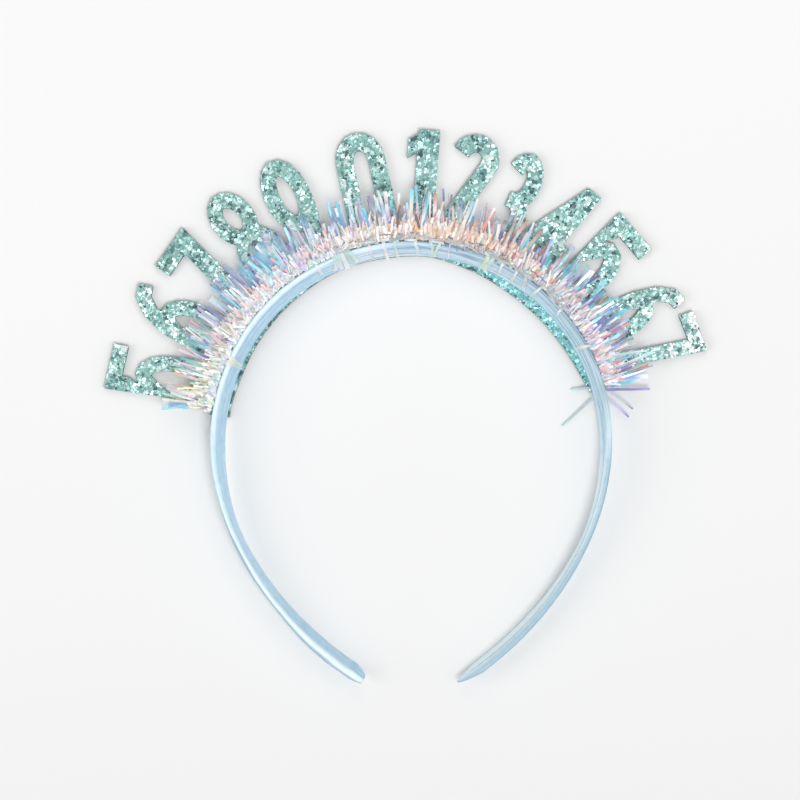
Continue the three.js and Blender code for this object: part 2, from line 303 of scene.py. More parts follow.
satin = {
    "stations": 420,
    "ribStations": 560,  # the puckered right limb has finer ones
    "girthPoints": 64,
    "ribFrom": 98,
    "ribPitch": 0.85,
    "ribDepth": 0.07,
    "foldDepth": 0.16,
    "foldHeights": (0.22, 0.42, 0.6, 0.8),  # shares of the width, on the inner face
    "seamStep": 0.2,
    "seamGroove": 0.14,
    "layerStep": 0.14,  # the outer layer's loose edge on the left limb
    "layerGroove": 0.08,
    "wrinkleDepth": 0.2,
    "unevenness": 0.035,
    "tipLengths": (4.8, 9.0),  # over which the left and right tips narrow
    "tipShift": 0.9,  # the left tip narrows towards its outer side
    "tipLean": 0.95,
    # light: the pale tone of a painted sheen, streaked over main
    "light": tone(224, 245, 253),
    "main": tone(196, 224, 241),
    # the inner tones are painted shade on the inner face
    "inner": tone(158, 202, 230),
    "innerShadePale": tone(198, 230, 249),
    # painted shade on the outer front edge of the limbs
    "edge": tone(118, 158, 178),
    # painted shade on the outer front edge over the crown
    "dull": tone(168, 198, 208),
    "outerShadeDeep": tone(152, 181, 196),
    "outerShadePale": tone(194, 218, 228),
    # painted shade in the pleats
    "pleat": tone(96, 122, 180),
    # painted reflection of the film in the satin, with fine streaks
    "lilac": tone(196, 219, 236),
    "lilacDeep": tone(132, 166, 208),
    "lilacPale": tone(236, 247, 252),
    # painted highlight along creases, ridges and folds
    "gleam": tone(234, 251, 255),
    # deep: painted shade in the seam's groove
    "deep": tone(48, 98, 130),
}

# Where the ribbon's tucked edge runs: turn, and millimetres round the section from its outer face
seamTable = [
    (44, 14.2), (54, 12.8), (60, 12.4), (80, 11.8), (92, 10.4), (105, 9.5), (120, 9.3),
    (140, 9.6), (160, 10.6), (168, 10.2),
]
# Painted highlights along the ribbon's creases: first and last turn, millimetres round, half width,
# strength
creaseHighlights = [
    (14, 104, 14.6, 0.55, 0.85),
    (92, 178, 13.0, 3.4, 1.0),
    (34, 88, 10.9, 0.4, 0.7),
    (-8, 40, 11.6, 0.3, 0.5),
    (-34, 6, 13.2, 0.35, 0.45),
    (-92, -20, 7.8, 0.7, 0.7),
]
# and painted shade in its pleats, in the same columns
pleatShades = [
    (-14, 34, 9.3, 0.3, 0.7),
    (-8, 40, 10.4, 0.3, 0.65),
    (0, 74, 7.4, 0.25, 0.7),
    (38, 84, 9.8, 0.3, 0.45),
    (-76, -18, 9.6, 0.35, 0.3),
    (-96, -44, 12.4, 0.4, 0.25),
]
# The outer layer's loose edge down the left limb: turn, and millimetres round
foldTable = [(-168, 7.1), (-150, 7.3), (-125, 7.2), (-100, 6.9), (-84, 6.6)]

# The section as shares of thickness (inward) and width (up), as in the frame
sectionTable = np.array([
    (0, 0.3), (0, 0.7), (0.05, 0.92), (0.3, 1), (0.72, 1), (0.96, 0.93),
    (1, 0.7), (1, 0.3), (0.96, 0.07), (0.72, 0), (0.3, 0), (0.05, 0.08),
])


def smoothLoop(points, parts):  # a Catmull-Rom curve through a closed row of points
    before, after, later = (np.roll(points, step, 0) for step in (1, -1, -2))
    t = (np.arange(parts) / parts)[:, None, None]
    curve = 0.5 * (
        2 * points + (after - before) * t
        + (2 * before - 5 * points + 4 * after - later) * t ** 2
        + (3 * points - before - 3 * after + later) * t ** 3
    )
    return curve.transpose(1, 0, 2).reshape(-1, 2)


def satinFinish():
    finish = Finish("pale blue satin")
    uv = finish.place("UV")  # u runs along the band and v round it, in millimetres
    streaks = finish.noise(finish.stretch(uv, (0.05, 1.5, 1)), 1.0, 3)
    shimmer = finish.noise(finish.stretch(uv, (0.3, 0.5, 1)), 1.0, 2)
    # painted shade: a dark line along the seam's groove, broken into dashes
    dashes = finish.noise(finish.stretch(uv, (0.55, 0, 1)), 1.0, 1) > 0.42
    seamGap = finish.stored("seam").size()
    seam = finish.node("MapRange", {"clamp": True}, {0: seamGap, 1: 0.09, 2: 0.26, 3: 1.0, 4: 0.0})
    seam = seam * (0.6 + dashes * 0.4) * finish.stored("seamOn")
    threads = finish.waves(uv, "X", 2.2, 0.6)
    warp = finish.waves(uv, "Y", 1.6, 0.4)
    fine = finish.noise(finish.stretch(uv, (0.06, 1.9, 1)), 1.0, 2)
    # streaks blend main into light: a painted sheen along the ribbon
    share = streaks * 0.6 + shimmer * 0.4
    face = finish.ramp(share, [(0.36, satin["main"]), (0.62, satin["light"])])
    # painted shade on the inner face, streaked the same way
    inside = finish.ramp(share, [(0.36, satin["inner"]), (0.62, satin["innerShadePale"])])
    colour = finish.mix(finish.stored("inner"), face, inside)
    # painted reflection of the film over the crown
    lilac = [(0.41, satin["lilacDeep"]), (0.49, satin["lilac"]), (0.56, satin["lilacPale"])]
    colour = finish.mix(finish.stored("lilac"), colour, finish.ramp(fine, lilac))
    # painted shade on the limbs' outer front edge, ribbed
    ribs = finish.waves(uv, "X", 0.42, 3.0, 1)
    edge = finish.mix(ribs * 0.35 + shimmer * 0.2, satin["edge"], satin["main"])
    colour = finish.mix(finish.stored("edge"), colour, edge)
    # painted shade on the crown's outer front edge, with fine streaks
    dull = [(0.41, satin["outerShadeDeep"]), (0.49, satin["dull"]), (0.57, satin["outerShadePale"])]
    colour = finish.mix(finish.stored("dull"), colour, finish.ramp(fine, dull))
    # painted shade in the pleats
    colour = finish.mix(finish.stored("pleat"), colour, satin["pleat"])
    # painted highlights along creases and folds, brighter in the streaks
    colour = finish.mix(finish.stored("gleam") * (0.5 + streaks), colour, satin["gleam"])
    # painted shade in the seam's groove
    colour = finish.mix(seam * 0.95, colour, satin["deep"])
    height = threads * 0.35 + warp * 0.3 + streaks * 0.6
    return finish.surface({
        "Base Color": colour,
        "Roughness": 0.3 + streaks * 0.16,
        "Normal": finish.bump(height, 0.35, 0.05),
        "Specular IOR Level": 0.6,
        "Anisotropic": 0.45,
        "Sheen Weight": 0.12,
        "Sheen Roughness": 0.35,
        "Sheen Tint": (0.86, 0.94, 1.0),
    })


def evenly(loop, parts):  # the closed loop again with its points the same distance apart
    closed = np.concatenate((loop, loop[:1]))
    run = runAlong(closed)
    at = np.arange(parts) * run[-1] / parts
    return np.stack((np.interp(at, run, closed[:, 0]), np.interp(at, run, closed[:, 1])), -1), at


def satinStations():  # turns along the band, and how full the section is at each
    tip = bandForm["tipTurn"]
    tipReach = float(np.linalg.norm(bandEdge(tip)))
    leftTip, rightTip = (math.degrees(length / tipReach) for length in satin["tipLengths"])
    back = np.linspace(0, 1, 24)[:-1] ** 1.6
    main = np.linspace(-tip + leftTip, satin["ribFrom"], satin["stations"], endpoint=False)
    ribbed = np.linspace(satin["ribFrom"], tip - rightTip, satin["ribStations"])
    turns = np.concatenate((-tip + leftTip * back, main, ribbed, (tip - rightTip * back)[::-1]))
    chisel = (0.45 + 0.55 * back ** 0.8) * np.minimum(1, back / 0.06) ** 0.4
    point = back ** 0.62
    fullness = np.concatenate((chisel, np.ones(len(main) + len(ribbed)), point[::-1]))
    return turns, 0.05 + 0.95 * fullness


def satinSection():  # each point's shares inward and up, millimetres round, and way out
    scale = np.array((bandForm["thickness"], bandForm["width"]))
    flat, girth = evenly(smoothLoop(sectionTable, 12) * scale, satin["girthPoints"])
    inward, up = (flat / scale).T
    outward = unit(np.roll(flat, 1, 0) - np.roll(flat, -1, 0))
    outward = np.stack((outward[:, 1], -outward[:, 0]), -1)
    outward *= np.sign(((flat - flat.mean(0)) * outward).sum(-1, keepdims=True))
    return inward, up, girth, outward


def makeSatinBand():
    form = bandForm
    turns, fullness = satinStations()
    inward, up, girth, outward = satinSection()
    turn = turns[:, None]
    innerFace = smoothStep(inward, 0.75, 0.98)
    frontEdge = smoothStep(up, 0.86, 0.99)
    outerFace = 1 - smoothStep(inward, 0.02, 0.3)
    over = smoothStep(turn, -70, -30) * (1 - smoothStep(turn, 62, 84))

    # longitudinal folds where the ribbon is pulled round the crown
    lift = np.zeros((len(turns), len(inward)))
    for k, height in enumerate(satin["foldHeights"]):
        line = height + 0.05 * wander(turn, 20 + k, 3)
        fold = satin["foldDepth"] * over * innerFace * hump(up, line, 0.055)
        lift += fold * (0.7 + 0.5 * wander(turn, 30 + k, 5))
    # the ribbon's tucked edge: a step with a groove beside it
    seamTurns, seamPlaces = np.array(seamTable).T
    seamAt = np.interp(turn, seamTurns, seamPlaces) + 0.08 * wander(turn, 41, 30)
    seamOn = smoothStep(turn, 46, 58)
    step = seamOn * satin["seamStep"] * smoothStep(seamAt - girth, -0.2, 0.25)
    lift += step * smoothStep(girth, 4.5, 7.0)
    lift -= satin["seamGroove"] * seamOn * hump(girth, seamAt + 0.1, 0.3)
    # the outer layer's edge down the left limb
    foldTurns, foldPlaces = np.array(foldTable).T
    foldAt = np.interp(turn, foldTurns, foldPlaces) + 0.14 * wander(turn, 61, 12)
    foldOn = 1 - smoothStep(turn, -125, -88)
    step = satin["layerStep"] * foldOn * smoothStep(girth - foldAt, -0.1, 0.3)
    lift += step * (1 - smoothStep(girth, 8.6, 11))
    lift -= satin["layerGroove"] * foldOn * hump(girth, foldAt, 0.25)
    # puckers across the right limb on both sides of the seam
    along = runAlong(bandEdge(turns))[:, None]
    pucker = np.sin(2 * math.pi * (along / satin["ribPitch"] + 0.5 * wander(turn, 51, 9)))
    puckerOn = smoothStep(turn, 100, 125) * np.maximum(hump(girth, seamAt, 1.6), frontEdge)
    lift += satin["ribDepth"] * puckerOn * pucker * (0.6 + 0.5 * wander(turn, 52, 14))
    # wrinkles by the left tip
    wrinkle = smoothStep(-turn, 148, 164)
    wrinkle = satin["wrinkleDepth"] * wrinkle * wander(turn + up * 25, 71, 40)
    lift += wrinkle * np.maximum(innerFace, frontEdge)
    lift += satin["unevenness"] * wander(turn + 40 * inward, 81, 12) * (1 - 0.5 * outerFace)

    full = fullness[:, None]
    upNow = 0.5 + (up - 0.5) * full + outward[:, 1] * lift / form["width"]
    acrossNow = (0.5 + (inward - 0.5) * full) * form["thickness"] + outward[:, 0] * lift
    acrossNow -= satin["tipShift"] * (1 - full) * (turn < 0)
    acrossNow -= satin["tipLean"] * smoothStep(-turn, 140, 156) * (1 - inward) * smoothStep(up, 0.5, 1)
    places = bandPlace(turn, acrossNow, upNow)
    places[..., 2] = np.maximum(places[..., 2], 0.02)
    rings, sides = places.shape[:2]
    faces = [tubeFaces(rings, sides)]
    for ring in (0, rings - 1):  # each end closes as a fan of quads
        first = ring * sides
        for j in range(1, sides - 2, 2):
            fan = (first, first + j, first + j + 1, first + j + 2)
            faces.append(np.array([fan if ring else fan[::-1]]))
    uv = np.stack(np.broadcast_arrays(along, girth), -1)
    crown = smoothStep(turn, -34, -12) * (1 - smoothStep(turn, 34, 54))
    # painted reflection of the film, over the crown
    lilac = crown * np.clip(0.75 + 0.5 * wander(turn + 30 * up, 91, 8), 0.2, 1)
    lilac = lilac * (0.55 + 0.45 * innerFace)
    # painted shade on the inner face, fading out down the right limb, and on the lower left limb's inner
    # part
    inner = innerFace * (1 - smoothStep(up, 0.9, 0.99)) * (1 - smoothStep(turn, 75, 105))
    leftInner = smoothStep(-turn, 132, 150) * smoothStep(girth, foldAt + 1.0, foldAt + 1.8)
    inner = np.maximum(inner, leftInner)
    # painted shade on the outer front edge, down both limbs
    onFront = smoothStep(girth, 4.6, 6.4)
    leftEdgeShade = foldOn * (1 - smoothStep(girth - foldAt, -0.1, 0.5))
    ridge = between(8.2, 8.8, smoothStep(turn, 110, 140))
    rightEdgeShade = 0.9 * smoothStep(turn, 84, 100) * (1 - smoothStep(girth - ridge, -1.1, 0.5))
    # painted shade on the crown's outer front edge
    dull = smoothStep(turn, -12, 14) * (1 - smoothStep(turn, 76, 92))
    dull = dull * (1 - smoothStep(girth, 8.9, 9.9))
    # painted highlights along the creases and painted shade in the pleats
    gleam, pleat = np.zeros_like(lift), np.zeros_like(lift)
    for mark, rows, seed in ((gleam, creaseHighlights, 101), (pleat, pleatShades, 121)):
        for k, (first, last, place, reach, strength) in enumerate(rows):
            line = place + 0.25 * wander(turn, seed + k, 6)
            there = smoothStep(turn, first, first + 12) * (1 - smoothStep(turn, last - 12, last))
            mark += strength * there * hump(girth, line, reach)
    # painted highlights beside the seam and along the outer layer's edge
    ridgeAt = seamAt - between(1.5, 0.75, smoothStep(turn, 92, 115))
    gleam += 0.6 * smoothStep(turn, 90, 104) * hump(girth, ridgeAt, 0.3)
    layerReach = between(0.45, 0.75, smoothStep(-turn, 120, 150))
    gleam += 0.9 * foldOn * hump(girth, foldAt + 0.6, layerReach)
    # how far each point lies from the seam as seen from above, for the painted shade line along it
    seen = acrossNow + (1 - up) * bandInset(turn)
    seamUp = np.interp(seamAt, girth, up)
    seamSeen = np.interp(seamAt, girth, inward) * form["thickness"] + (1 - seamUp) * bandInset(turn)
    shown = seamOn * (1 - smoothStep(np.abs(girth - seamAt), 0.35, 0.8))
    marks = {
        "inner": inner,
        "lilac": lilac,
        "edge": onFront * np.maximum(leftEdgeShade, rightEdgeShade),
        "dull": 0.9 * onFront * dull,
        "pleat": np.clip(pleat, 0, 1),
        "gleam": np.clip(gleam, 0, 1),
        "seam": seen - seamSeen,
        "seamOn": shown,
    }
    marks = {key: values.ravel() for key, values in marks.items()}
    faces = np.concatenate(faces)
    piece = addPiece("satinBand", places, faces, satinFinish(), marks, uv)
    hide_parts("band")


makeSatinBand()


# Glitter foam: the frame's own sheet, with a finish, and loose-cut flakes all over its face

glitter = {
    "flakes": 15000,
    "size": (0.6, 1.6),
    "clusters": 1500,
    "clustered": 0.6,  # share of flakes that take their cluster's tone
    "thickness": 0.05,
    "tilt": 9.5,
    "chipScale": 1450.0,  # cells and noise to a metre
    "poreScale": 2600.0,
    "fineScale": 5200.0,
    "dark": tone(34, 72, 78),
    "deep": tone(88, 138, 140),
    "mint": tone(142, 190, 184),
    "fresh": tone(170, 214, 206),
    "pale": tone(218, 248, 243),
    "white": tone(252, 255, 255),
    # painted shade on the sheet's cut sides
    "cut": tone(26, 42, 46),
    "rim": tone(104, 210, 228),  # the sheet inside the band looks bluer
    "rimRadius": 65.5,
}


def glitterStops(whiteShare):
    return [
        (0.08, glitter["dark"]), (0.13, glitter["deep"]), (0.2, glitter["deep"]),
        (0.28, glitter["mint"]), (0.56, glitter["mint"]), (0.74, glitter["fresh"]),
        (0.89 - whiteShare, glitter["pale"]), (0.96 - whiteShare, glitter["white"]),
    ]


def foamFinish():
    finish = Finish("mint glitter foam")
    place = finish.place()
    chip = finish.cells(place, glitter["chipScale"])
    grey = finish.node("RGBToBW", None, {0: chip})
    chips = finish.ramp(grey, glitterStops(0.06))
    facing = finish.node("NewGeometry", output=1)
    top = finish.node("SeparateXYZ", None, {0: facing}, 2) > 0.7
    pores = finish.noise(place, glitter["poreScale"], 2)
    # the sides take the dark tone, painted shade; the top takes the chips
    colour = finish.mix(top, finish.mix(pores * 0.5, glitter["cut"], glitter["deep"]), chips)
    return finish.surface({
        "Base Color": colour,
        "Metallic": top * 0.35,
        "Roughness": 0.85 - top * 0.5,
        "Normal": finish.bump(grey, 0.5, 0.12),
    })


def flakeFinish():
    finish = Finish("mint glitter flakes")
    shade = finish.stored("shade")
    fine = finish.noise(finish.place(), glitter["fineScale"], 1)
    colour = finish.ramp(shade, glitterStops(0.0))
    colour = finish.mix(finish.stored("rim") * 0.42, colour, glitter["rim"])
    colour = finish.mix(fine * 0.2, colour, glitter["pale"])
    return finish.surface({
        "Base Color": colour,
        "Metallic": 0.4,
        "Roughness": 0.2 + fine * 0.2,
        "Normal": finish.bump(fine, 0.2, 0.02),
    })


def insideRim(level):  # 1 where the sheet shows inside the band
    return smoothStep(glitter["rimRadius"] - np.linalg.norm(level, axis=-1), 0, 1)


def makeFlakes(mesh, look):
    mesh.calc_loop_triangles()
    corners = np.array([v.co for v in mesh.vertices]) / mm
    triangles = np.array([t.vertices for t in mesh.loop_triangles])
    points = corners[triangles]
    crosses = np.cross(points[:, 1] - points[:, 0], points[:, 2] - points[:, 0])
    areas = np.linalg.norm(crosses, axis=-1) / 2
    top = crosses[:, 2] > 0.9 * 2 * areas
    points, areas = points[top], areas[top]
    print("foam face", round(float(areas.sum())), "square mm")

    rng = np.random.default_rng(5)
    count = glitter["flakes"]
    pick = rng.choice(len(areas), count, p=areas / areas.sum())
    a, b = rng.random(count), rng.random(count)
    a, b = np.where(a + b > 1, 1 - a, a), np.where(a + b > 1, 1 - b, b)
    first, second, third = points[pick].transpose(1, 0, 2)
    centre = first + (second - first) * a[:, None] + (third - first) * b[:, None]
    size = rng.uniform(*glitter["size"], count) / 2
    spin = rng.uniform(0, 60, count)
    angles = np.radians(spin[:, None] + np.arange(6) * 60)
    rim = np.stack((np.cos(angles), np.sin(angles)), -1) * size[:, None, None]
    rim *= rng.uniform(0.8, 1.12, (count, 6, 1))

    # flakes at the die-cut edge are cut back to it
    sheetCorners = [Vector(point) for point in points.reshape(-1, 3)]
    sheetFaces = [(3 * i, 3 * i + 1, 3 * i + 2) for i in range(len(points))]
    tree = BVHTree.FromPolygons(sheetCorners, sheetFaces)
    down = Vector((0, 0, -1))
    keep = np.ones(count, bool)
    atEdge = np.zeros(count, bool)
    for i in range(count):
        outside = 0
        for j in range(6):
            start = Vector((*(centre[i, :2] + rim[i, j]), foamTop + 1))
            if tree.ray_cast(start, down)[0] is None:
                rim[i, j] *= 0.25
                outside += 1
        keep[i] = outside < 4
        atEdge[i] = outside > 0
    tilt = rng.normal(0, glitter["tilt"], (count, 2)) / 57.3  # degrees as a slope
    tilt = np.clip(tilt, -0.5, 0.5)
    rise = (rim * tilt[:, None, :]).sum(-1)
    lift = 0.05 + 0.1 * rng.random(count) + 0.6 * np.abs(rise).max(-1)
    z = foamTop + lift[:, None] + rise
    upper = np.concatenate((centre[:, None, :2] + rim, z[..., None]), -1)
    lower = upper - (0, 0, glitter["thickness"])
    places = np.stack((upper, lower), 1)[keep]
    sides = [(j, j + 6, (j + 1) % 6 + 6, (j + 1) % 6) for j in range(6)]
    one = np.array([(0, 1, 2, 3), (0, 3, 4, 5), (9, 8, 7, 6), (11, 10, 9, 6)] + sides)

    # tones: most flakes follow their cluster, the right end is paler, and the sheet's inner rim gets
    # painted shade from the band, darkest at its cut edge
    home = centre[rng.choice(count, glitter["clusters"]), :2]
    homeShade = rng.random(len(home))
    nearest = np.array([((home - spot) ** 2).sum(-1).argmin() for spot in centre[:, :2]])
    follows = rng.random(count) < glitter["clustered"]
    shade = np.where(follows, homeShade[nearest], rng.random(count))
    rightEnd = smoothStep(centre[:, 0], 84, 100)
    shade = np.clip(shade * 0.97 + 0.5 * rightEnd * (shade > 0.3), 0, 1)
    level = centre[:, :2] - arcCentre[:2]
    within = insideRim(level)
    leftRim = within * (1 - smoothStep(level[:, 0], 0, 18))
    shade = shade * (1 - 0.6 * leftRim * (shade < 0.86))
    calm = (within > 0.5) & (level[:, 0] > 5) & (rng.random(count) < 0.8)
    shade = np.where(calm, 0.25 + 0.5 * shade, shade)
    shadowed = atEdge & (within > 0.5) & (rng.random(count) < 0.8)
    shade = (shade * (1 - 0.85 * shadowed))[keep]
    across = places[:, 0, :, 0].mean(-1)
    for name, side in (("glitterFlakesLeft", across < 0), ("glitterFlakesRight", across >= 0)):
        chosen = places[side]
        faces = np.arange(len(chosen))[:, None, None] * 12 + one
        level = chosen[:, 0, :, :2].mean(1) - arcCentre[:2]
        inside = insideRim(level) * smoothStep(level[:, 0], 5, 30)
        inside *= smoothStep(shade[side], 0.1, 0.18)
        marks = {"shade": np.repeat(shade[side], 12), "rim": np.repeat(inside, 12)}
        addPiece(name, chosen, faces, look, marks, smooth=False, arc=False)


flakeLook = flakeFinish()
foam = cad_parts["glitter_foam"].data
foam.materials.clear()
foam.materials.append(foamFinish())
makeFlakes(foam, flakeLook)


# Tinsel: flat strips of iridescent film that fan out of a crimped core

filmTones = {
    "white": tone(252, 252, 254),
    "cream": tone(248, 240, 220),
    "peach": tone(246, 190, 160),
    "coral": tone(228, 138, 122),
    "pink": tone(246, 200, 216),
    "lavender": tone(208, 194, 240),
    "violet": tone(138, 114, 196),
    "blue": tone(104, 158, 226),
    "cyan": tone(104, 222, 240),
    "teal": tone(88, 166, 180),
    "mint": tone(184, 236, 222),
    "lime": tone(230, 242, 200),
    "gold": tone(212, 182, 110),
    "umber": tone(96, 80, 78),
    "indigo": tone(82, 82, 158),
    "sage": tone(176, 200, 194),
    "ash": tone(204, 208, 202),
    "fog": tone(184, 196, 206),
    "slate": tone(92, 112, 132),
}

# Turn where a family of colours is strongest, the long strips' tones, and the crinkled base's
filmFamilies = [
    (-76, "white cream mint lime white cyan gold pink", "cream white mint gold lime umber"),
    (-60, "white teal pink cyan cream violet white mint", "cream white lime pink umber mint"),
    (-44, "blue cyan mint teal white violet indigo", "white cream lavender peach cyan pink"),
    (-28, "blue cyan white teal indigo cyan white mint", "pink peach cream lavender violet mint"),
    (-10, "white pink violet cyan blue white mint umber", "cream white gold pink cream white"),
    (10, "coral cream white cyan umber blue white white", "cream peach gold coral cream peach"),
    (28, "coral peach white umber cyan indigo mint white", "cream peach coral white gold violet"),
    (44, "blue cyan mint white violet teal cyan", "peach mint white coral lavender cyan"),
    (64, "coral white cyan violet indigo blue mint white", "cream lavender fog white lavender coral"),
]

film = {
    "thickness": 0.06,
    "corePath": 71.1,
    "coreHeight": 5.1,
    "turns": (-81.0, 73.5),
    "coreSection": (2.9, 3.3),  # half width and half height
    "coreLumps": 0.5,
    # the white of the painted glare on the film
    "glare": (0.97, 0.98, 1.0),
    "top": 15.2,
}

longStrips = {
    "count": 430,
    "rises": (2.0, 12.0, 28.0),
    "riseShares": (0.4, 0.38, 0.22),
    "lengths": (7.0, 16.0),
    "steep": 24,  # strips that rise more than this are shorter
    "steepLength": 0.85,
    "widths": (0.6, 0.9, 1.3),
    "widthShares": (0.35, 0.4, 0.25),
    "shape": {
        "sweep": (0, 6), "curl": (-12, 12), "roll": (0, 38), "twist": (0, 34),
        "crimp": (0, 0.1), "waves": 1.5,
    },
}

baseStrips = {
    "count": 3000,
    "reach": (-3.0, 4.4),  # innermost place from the core's path, and how far out from there
    "height": 10.1,
    "fall": 1.2,  # millimetres down for each one out
    "lengths": (2.4, 6.2),
    "widths": (0.35, 0.95),
    "wash": 0.42,  # how far its tones go to white
    "washed": 0.75,  # share of strips that do
    "shape": {
        "sweep": (0, 10), "curl": (-10, 18), "roll": (0, 18), "twist": (0, 20),
        "crimp": (0, 0.1), "waves": 1.2,
    },
}

# Short ones that lie over the band's edge down its left side
overStrips = {
    "count": 420,
    "lastTurn": -20,
    "reach": (-3.6, -2.7),
    "height": 12.1,
    "lengths": (1.2, 2.8),
    "widths": (0.4, 0.9),
    "tones": "white cream fog mint lavender",
}

sheerStrips = {
    "leftTurns": (-58, -12),
    "leftCount": 32,
    "count": 60,
    "lengths": (11, 15.5),
    "widths": (1.4, 2.6),
    "tones": "lavender blue cyan white",
    "shape": {
        "sweep": (0, 8), "curl": (-12, 10), "roll": (0, 18), "twist": (0, 16),
        "crimp": (0, 0.1), "waves": 1,
    },
}


def filmFinish(name, clear, glow, rainbow=380.0):
    finish = Finish(name)
    colour = finish.stored("film", "Color")
    uv = finish.place("UV")
    streak = finish.noise(finish.stretch(uv, (0.25, 3.0, 1)), 1.0, 3)
    # painted glare streaks over the film's colour; the emission is a painted glow, light seen through
    # the film
    colour = finish.mix(0.3 * streak, colour, film["glare"])
    return finish.surface({
        "Base Color": colour,
        "Metallic": 0.1,
        "Roughness": 0.2 + streak * 0.2,
        "Normal": finish.bump(streak, 0.3, 0.06),
        "Alpha": clear + streak * 0.3,
        "Emission Color": colour,
        "Emission Strength": glow,
        "Thin Film Thickness": rainbow,
        "Thin Film IOR": 1.5,
    })


def tonesOf(names):
    return np.array([filmTones[name] for name in names.split()])


def drawTones(rng, names, count):  # three for each strip
    palette = tonesOf(names)
    return palette[rng.integers(0, len(palette), (count, 3))]


def paler(tones, share):
    return between(tones, np.array(filmTones["white"]), share)


def pickTones(rng, turn, column):
    # three tones for each strip, its root's first, from the family whose turn is nearest
    homes = np.array([family[0] for family in filmFamilies])
    nearest = np.abs(homes - (turn + rng.normal(0, 6, len(turn)))[:, None]).argmin(-1)
    found = np.empty((len(turn), 3, 3))
    for i, family in enumerate(nearest):
        names = filmFamilies[family][column].split()
        root = filmFamilies[family][2].split()
        picked = [rng.choice(root), *rng.choice(names, 2)]
        found[i] = [filmTones[name] for name in picked]
    return found


def makeStrips(name, roots, heading, rise, length, width, finish, tones, shape, rng, stations=8):
    # shape holds the middle and spread of sweep, curl, roll and twist in degrees and of crimp in
    # millimetres, the waves along a strip, and for some the lowest height
    count = len(roots)
    share = np.linspace(0, 1, stations)[None, :]

    def varied(key):
        middle, spread = shape[key]
        return (middle + spread * rng.normal(0, 1, count))[:, None]

    turnNow = np.radians(heading[:, None] + varied("sweep") * share)
    riseNow = np.radians(np.clip(rise[:, None] + varied("curl") * share, -60, 80))
    level = np.cos(riseNow)
    ahead = np.stack((level * np.sin(turnNow), level * np.cos(turnNow), np.sin(riseNow)), -1)
    step = (length[:, None] / (stations - 1))[..., None]
    line = np.cumsum(ahead * step, axis=1) - ahead * step + roots[:, None, :]
    side = np.stack((np.cos(turnNow), -np.sin(turnNow), np.zeros_like(turnNow)), -1)
    normal = np.cross(side, ahead)
    roll = np.radians(varied("roll") + varied("twist") * share)[..., None]
    across = side * np.cos(roll) + normal * np.sin(roll)
    upward = normal * np.cos(roll) - side * np.sin(roll)
    waves = shape["waves"] * (0.7 + 0.6 * rng.random((count, 1)))
    crimp = np.abs(varied("crimp")) * np.sin(2 * math.pi * (waves * share + rng.random((count, 1))))
    line = line + upward * crimp[..., None]
    half = across * (width[:, None] / 2)[..., None]
    thick = upward * film["thickness"] / 2
    corners = (line - half + thick, line + half + thick, line + half - thick, line - half - thick)
    places = np.stack(corners, 2)
    low = shape.get("low", foamTop + 0.25)
    under = np.minimum(places[..., 2].min(-1) - low, 0)[..., None]
    over = np.maximum(places[..., 2].max(-1) - film["top"], 0)[..., None]
    places[..., 2] -= under + over
    change = rng.uniform(0.15, 0.5, (count, 1))  # where a strip takes its own colour
    first = smoothStep(share / change, 0, 1)[..., None]
    second = smoothStep(share, change + 0.1, 1.0)[..., None]
    root, middle, end = tones[:, :, None, :].transpose(1, 0, 2, 3)
    colour = between(between(root, middle, first), end, second)
    # painted glare: patches along each strip go toward white
    pale = rng.normal(-0.05, 0.25, (count, 1, 1))
    pale = pale + 0.2 * np.sin(7 * share[..., None] + 6 * rng.random((count, 1, 1)))
    colour = between(colour, np.array(film["glare"]), np.clip(pale, 0, 0.9))
    colours = np.repeat(colour[:, :, None, :], 4, 2).reshape(-1, 3)
    uv = np.empty((count, stations, 4, 2))
    uv[..., 0] = (share * length[:, None] + 50 * rng.random((count, 1)))[..., None]
    uv[..., 1] = np.array((0, 1, 1, 0)) + 9 * rng.random((count, 1, 1))
    faces = stripFaces(count, stations)
    return addPiece(name, places, faces, finish, {"film": colours}, uv, smooth=False)


def rootsAt(turn, outward, height):
    level = polar(film["corePath"] + outward, turn)
    return np.concatenate((level, height[:, None]), -1)


def makeLongStrips(rng, look):
    strips = longStrips
    count = strips["count"]
    turn = rng.uniform(*film["turns"], count)
    outward = rng.normal(-1.0, 0.8, count)
    roots = rootsAt(turn, outward, film["coreHeight"] + rng.normal(1.4, 1.2, count))
    heading = turn + rng.normal(0, 8, count)
    rise = rng.choice(strips["rises"], count, p=strips["riseShares"]) + rng.normal(0, 6, count)
    shorter = np.where(rise > strips["steep"], strips["steepLength"], 1)
    length = rng.uniform(*strips["lengths"], count) * shorter
    width = rng.choice(strips["widths"], count, p=strips["widthShares"])
    tones = pickTones(rng, turn, 1)
    shape = strips["shape"]
    return makeStrips("tinselFilm", roots, heading, rise, length, width, look, tones, shape, rng, 9)


